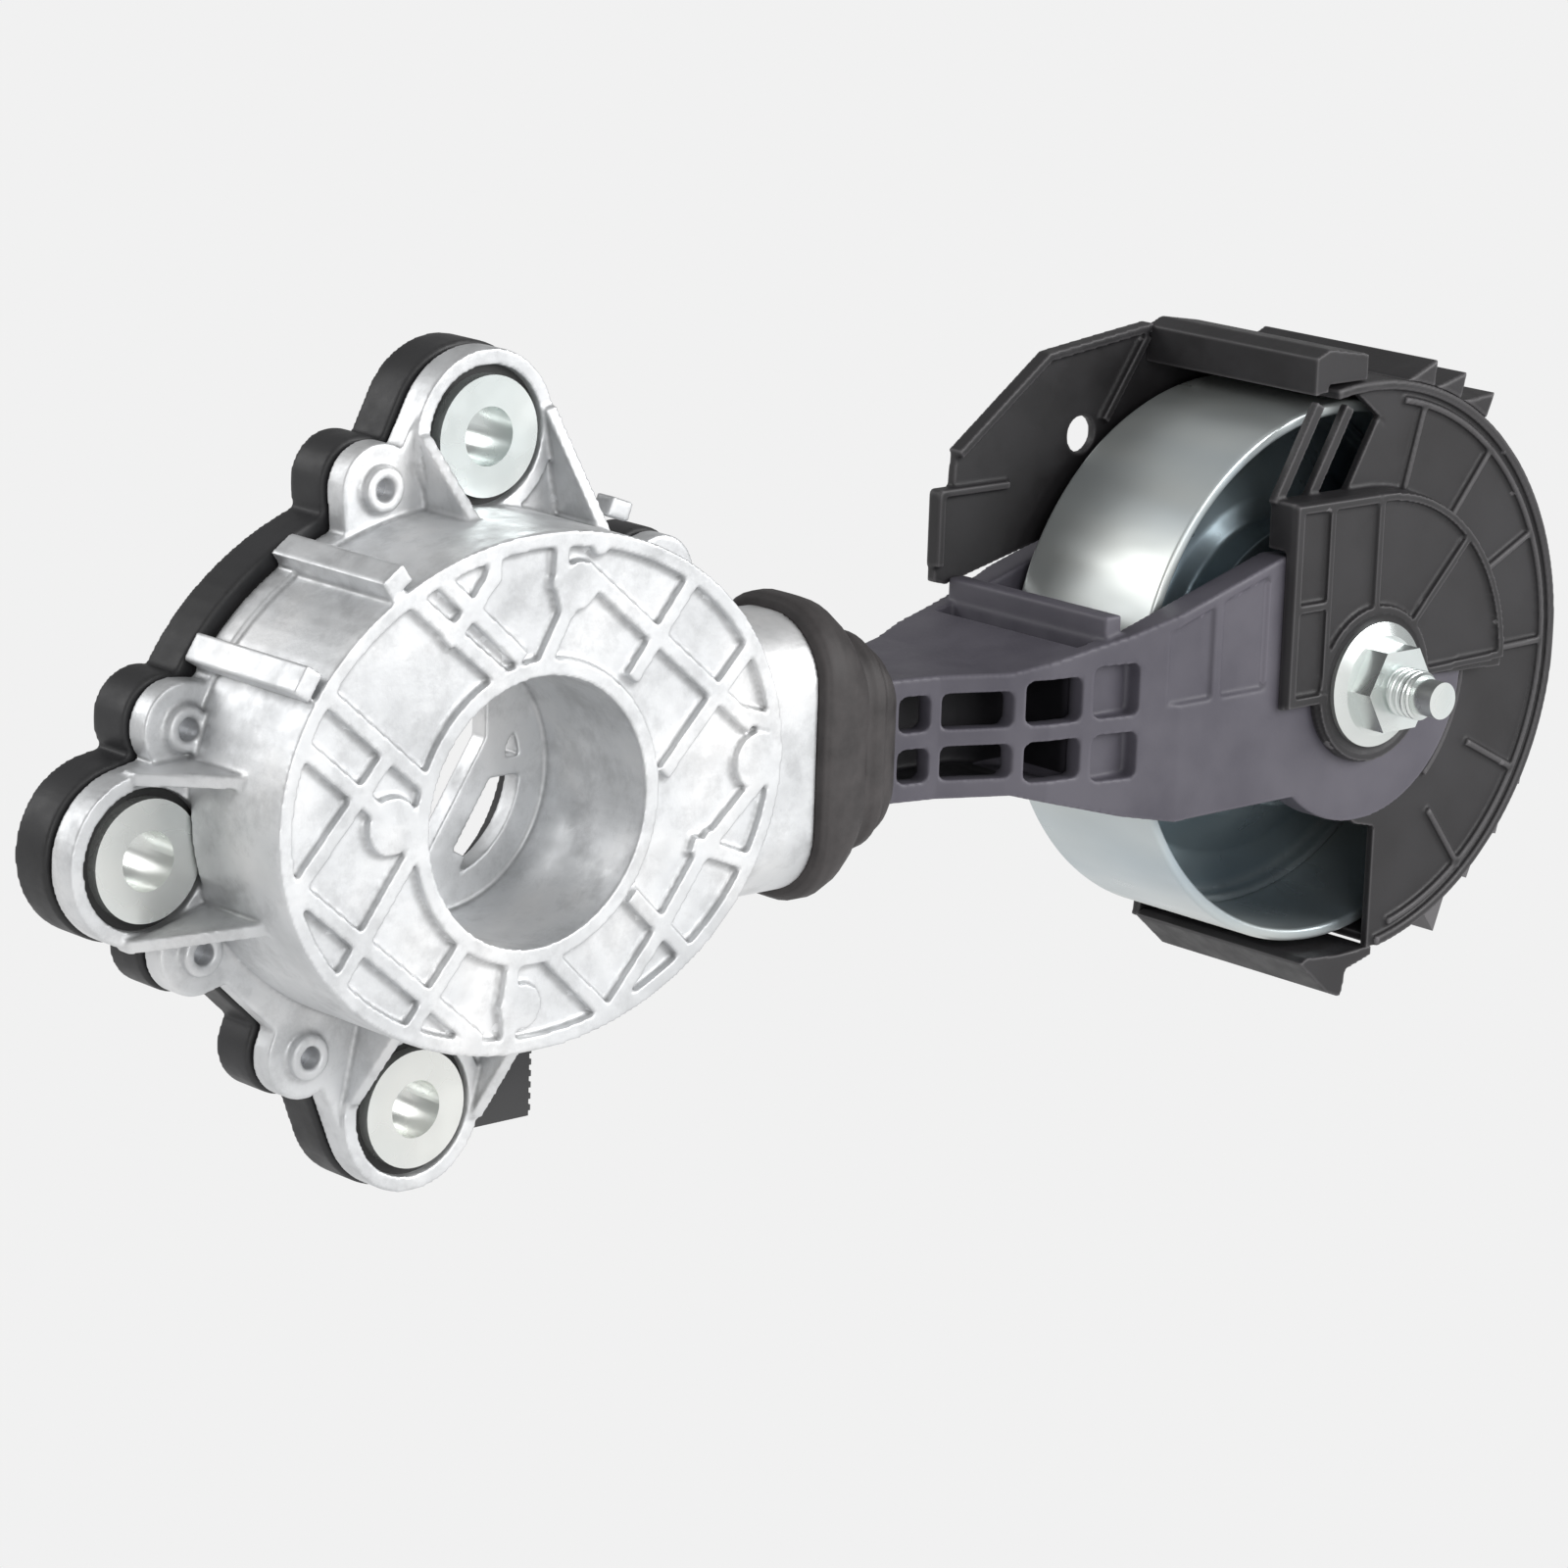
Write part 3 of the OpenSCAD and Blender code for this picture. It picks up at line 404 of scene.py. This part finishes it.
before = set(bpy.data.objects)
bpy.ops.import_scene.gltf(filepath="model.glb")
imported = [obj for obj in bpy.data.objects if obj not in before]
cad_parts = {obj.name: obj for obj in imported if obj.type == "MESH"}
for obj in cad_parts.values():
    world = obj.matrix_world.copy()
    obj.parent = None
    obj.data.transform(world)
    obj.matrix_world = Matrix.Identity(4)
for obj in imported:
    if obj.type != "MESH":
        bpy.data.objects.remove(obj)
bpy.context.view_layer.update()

CAST = cast_aluminium()
ZINC = zinc_plate("pale zinc", (0.72, 0.77, 0.76), (0.82, 0.83, 0.80))
WHEEL_LOW, WHEEL_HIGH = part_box("wheel_rim")
WHEEL_R = (WHEEL_HIGH[0] - WHEEL_LOW[0]) / 2
WHEEL_CENTRE = (WHEEL_LOW[0] + WHEEL_R, (WHEEL_LOW[2] + WHEEL_HIGH[2]) / 2)
RIM_T = 2 * MM
# the wheel's zinc, with shade painted on the inside of its rim
WHEEL_ZINC = zinc_plate("wheel zinc", (0.68, 0.74, 0.76), (0.88, 0.88, 0.82), (0.26, 0.44), (1, 0.3, 1), 0.62,
                        (*WHEEL_CENTRE, WHEEL_R - 0.7 * MM))
STEEL = machined_metal("plain steel", (0.52, 0.53, 0.55))
YOKE = machined_metal("yoke casting", (0.50, 0.51, 0.53), 0.42)
BRONZE = machined_metal("sintered bronze", (0.55, 0.38, 0.20), 0.4)
BRASS = machined_metal("contact brass", (0.78, 0.60, 0.30), 0.25)
COVER = moulded_plastic("cover plastic", (0.016, 0.016, 0.017), (0.026, 0.026, 0.028), (0.06, 0.06, 0.06))
# the guard's edges strongly lightened: wear, and a painted highlight along its ribs
GUARD = moulded_plastic("guard plastic", (0.016, 0.015, 0.016), (0.025, 0.024, 0.026), (0.13, 0.125, 0.13),
                        wear_and_highlight_share=0.8)
# the arm's plastic, with shade painted into the hollow behind its lattice
ARM = moulded_plastic("arm plastic", (0.066, 0.062, 0.078), (0.092, 0.087, 0.105), (0.17, 0.16, 0.19),
                      painted_shade_hollow=True)
LINER = moulded_plastic("liner plastic", (0.42, 0.40, 0.34), (0.50, 0.48, 0.41), (0.6, 0.58, 0.5))
CAGE = moulded_plastic("cage plastic", (0.36, 0.29, 0.16), (0.44, 0.36, 0.21), (0.5, 0.42, 0.26))
SEAL = rubber("seal rubber", (0.012, 0.012, 0.012), (0.022, 0.022, 0.022))
BOOT = rubber("boot rubber", (0.030, 0.027, 0.027), (0.055, 0.050, 0.050))

paint(ZINC, "mounting_sleeves", "axle_bolt", "flange_nut")
paint(STEEL, "cover_screws", "guide_pins", "spring_seats", "actuator_motor", "lead_screw", "yoke_pins",
      "cheek_bushes", "spacer_front", "spacer_rear", "bearing_inner_ring", "bearing_balls",
      "bearing_outer_ring")
paint(YOKE, "slide_yoke")
paint(BRONZE, "spindle_nut", "yoke_bushes")
paint(BRASS, "connector_pins")
paint(COVER, "motor_bracket", "connector_shell")
paint(LINER, "nozzle_liner")
paint(CAGE, "bearing_cage")
paint(SEAL, "cover_seal", "sleeve_grommets", "bearing_seals")
paint(GUARD, "guard_clips")

FINE = 0.36 * MM

finished(rounded_copy("housing", "housing_casting", FINE, 2), CAST, "base", "housing", slot="cast")
finished(rounded_copy("rear_cover", "rear_cover_moulding", FINE * 1.2, 3), COVER, "base", "rear_cover",
         slot="cover_black")
finished(rounded_copy("arm", "arm_moulding", FINE, 3), ARM, "arm", "arm", slot="arm_plastic")
for part in ("guard_front", "guard_rear", "guard_bridge", "guard_lip"):
    finished(rounded_copy(part, part + "_moulding", FINE * 0.9, 1), GUARD, "arm", part,
             slot="guard_plastic")


def rim_profile():
    """The rim's section as (radius, y), with every corner turned round."""
    y0, y1 = WHEEL_LOW[1], WHEEL_HIGH[1]
    outer, inner = WHEEL_R, WHEEL_R - RIM_T
    turn = 0.6 * MM
    hold = 0.9 * MM
    corners = [(inner + turn, y0 + turn, 180), (outer - turn, y0 + turn, 270),
               (outer - turn, y1 - turn, 0), (inner + turn, y1 - turn, 90)]
    profile = []
    for radius, y, start in corners:
        for step in range(5):
            a = math.radians(start + step * 22.5)
            profile.append((radius + turn * math.cos(a), y + turn * math.sin(a)))
    tread = [(outer, y0 + hold), (outer, y1 - hold)]
    inside = [(inner, y1 - hold), (inner, y0 + hold)]
    return profile[:10] + tread + profile[10:] + inside


finished(lathe_y("wheel_rim_turned", WHEEL_CENTRE, rim_profile(), 240), WHEEL_ZINC, "wheel", "wheel_rim",
         slot="wheel_zinc")
finished(rounded_copy("wheel_hub", "wheel_hub_pressing", FINE * 1.2, 3), WHEEL_ZINC, "wheel", "wheel_hub",
         slot="wheel_zinc")

# The cuff's outline as (share of its length, half width along Y, half height, corner), in mm
BOOT_OUTLINE = [
    (0.00, 12.4, 21.6, 11), (0.02, 13.5, 22.9, 12), (0.08, 14.0, 23.5, 12), (0.20, 14.1, 23.5, 12),
    (0.33, 13.8, 22.6, 12), (0.44, 13.2, 20.9, 11.5), (0.52, 12.6, 18.9, 11), (0.565, 12.1, 17.7, 10.5),
    (0.60, 12.1, 17.4, 10), (0.66, 12.4, 17.5, 10), (0.73, 12.4, 17.0, 9.5), (0.775, 12.0, 15.9, 9),
    (0.80, 11.9, 15.7, 8.5), (0.86, 11.6, 14.6, 7.5), (0.93, 10.8, 12.6, 6), (0.975, 10.0, 11.0, 4.5),
    (1.00, 9.3, 10.1, 3),
]
BOOT_WALL = 0.9


def boot_sections():
    """The folded cuff: a thick rim on the nozzle, then folds that shrink towards the arm's neck."""
    low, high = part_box("boot")
    length = high[0] - low[0]
    outer = []
    for (t0, *a), (t1, *b) in zip(BOOT_OUTLINE, BOOT_OUTLINE[1:]):
        for k in range(3):
            u = k / 3
            hy, hz, corner = ((p + (q - p) * u) * MM for p, q in zip(a, b))
            outer.append((low[0] + length * (t0 + (t1 - t0) * u), hy, hz, corner))
    t, *last = BOOT_OUTLINE[-1]
    outer.append((high[0], *(v * MM for v in last)))
    wall = BOOT_WALL * MM
    inner = [(x, hy - wall, hz - wall, max(corner - wall, MM)) for x, hy, hz, corner in outer]
    return outer + inner[::-1]


low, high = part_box("boot")
middle = ((low[1] + high[1]) / 2, (low[2] + high[2]) / 2)
boot = loft_x("boot_cuff", middle, boot_sections())
finished(boot, BOOT, "base", "boot", slot="boot_rubber")
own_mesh(boot)

low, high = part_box("tension_springs")
spring_r = (high[1] - low[1]) / 2
wire = 0.5 * MM
y_mid = (low[1] + high[1]) / 2
for name, z in (("spring_lower", low[2] + spring_r), ("spring_upper", high[2] - spring_r)):
    spring = wire_coil(name, (y_mid, z), spring_r - wire, wire, low[0], high[0], 5)
    finished(spring, STEEL, "base", "tension_springs", slot="steel")
    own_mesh(spring)

THREAD_PITCH = 1.25 * MM
THREAD_R = (3.4 * MM, 3.98 * MM)
THREAD_Y = (-21.0 * MM, -16.2 * MM)


def stud_thread():
    """The stud's free thread, as one helical skin that ends flat at both ends."""
    turns = (THREAD_Y[1] - THREAD_Y[0]) / THREAD_PITCH
    low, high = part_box("flange_nut")
    x, z = (low[0] + high[0]) / 2, (low[2] + high[2]) / 2
    around, along = 72, int(turns * 14)
    vertices = []
    for i in range(along + 1):
        y = THREAD_Y[0] + (THREAD_Y[1] - THREAD_Y[0]) * i / along
        for k in range(around):
            a = 2 * math.pi * k / around
            phase = ((y - THREAD_Y[0]) / THREAD_PITCH - k / around) % 1
            crest = min(1, max(0, 1.6 - 3.2 * abs(phase - 0.5)))
            r = THREAD_R[0] + (THREAD_R[1] - THREAD_R[0]) * crest
            vertices.append((x + r * math.cos(a), y, z + r * math.sin(a)))
    faces = []
    for i in range(along):
        for k in range(around):
            k2 = (k + 1) % around
            faces.append((i * around + k, (i + 1) * around + k, (i + 1) * around + k2, i * around + k2))
    faces.append(tuple(range(around)))
    faces.append(tuple(along * around + k for k in range(around - 1, -1, -1)))
    return new_object("stud_thread", vertices, faces)


finished(stud_thread(), ZINC, "arm", slot="zinc")

# ---- stage, light and camera ----


def emission(name, colour, strength):
    """A material that only glows."""
    material = bpy.data.materials.new(name)
    material.use_nodes = True
    nodes = material.node_tree.nodes
    nodes.clear()
    glow = nodes.new("ShaderNodeEmission")
    glow.inputs["Color"].default_value = colour
    glow.inputs["Strength"].default_value = strength
    out = nodes.new("ShaderNodeOutputMaterial")
    material.node_tree.links.new(glow.outputs[0], out.inputs[0])
    return material


reach = 8.0
floor = new_object("floor", [(-reach, -reach, FLOOR_Z), (reach, -reach, FLOOR_Z),
                             (reach, reach, FLOOR_Z), (-reach, reach, FLOOR_Z)], [(0, 1, 2, 3)], False)
floor.data.materials.append(emission("pale floor", PALE, 1.0))

world = bpy.data.worlds.new("studio")
bpy.context.scene.world = world
world.use_nodes = True
world.node_tree.nodes["Background"].inputs["Color"].default_value = PALE
world.node_tree.nodes["Background"].inputs["Strength"].default_value = WORLD_STRENGTH


def soft_box(name, place, aim, size, power):
    """A rectangular area light at a place, turned to its aim."""
    data = bpy.data.lights.new(name, "AREA")
    data.shape = "RECTANGLE"
    data.size, data.size_y = size
    data.energy = power
    light = bpy.data.objects.new(name, data)
    bpy.context.scene.collection.objects.link(light)
    light.location = place
    light.rotation_euler = (Vector(aim) - Vector(place)).to_track_quat("-Z", "Y").to_euler()


soft_box("key", (1.2, -1.7, 0.8), (0.05, 0, 0), (1.5, 1.2), 42)
soft_box("front", (-0.7, -1.5, 0.5), (0.08, 0, 0), (0.7, 0.7), 9)
soft_box("back", (-1.2, 1.3, 0.9), (0.12, 0, 0), (1.4, 0.9), 14)

bpy.context.scene.view_settings.view_transform = "Standard"

camera = bpy.data.objects.new("camera", bpy.data.cameras.new("camera"))
bpy.context.scene.collection.objects.link(camera)
camera.data.lens = CAMERA_LENS
camera.data.sensor_width = 36
cos_el = math.cos(CAMERA_ELEVATION)
back = Vector((math.sin(CAMERA_AZIMUTH) * cos_el, -math.cos(CAMERA_AZIMUTH) * cos_el,
               math.sin(CAMERA_ELEVATION)))
right = (-back).cross(Vector((0, 0, 1))).normalized()
up = right.cross(-back)
turned_right = math.cos(CAMERA_ROLL) * right + math.sin(CAMERA_ROLL) * up
turned_up = math.cos(CAMERA_ROLL) * up - math.sin(CAMERA_ROLL) * right
camera.matrix_world = Matrix.Translation(CAMERA_AIM + back * CAMERA_DISTANCE) @ Matrix(
    (turned_right, turned_up, back)).transposed().to_4x4()
bpy.context.scene.camera = camera
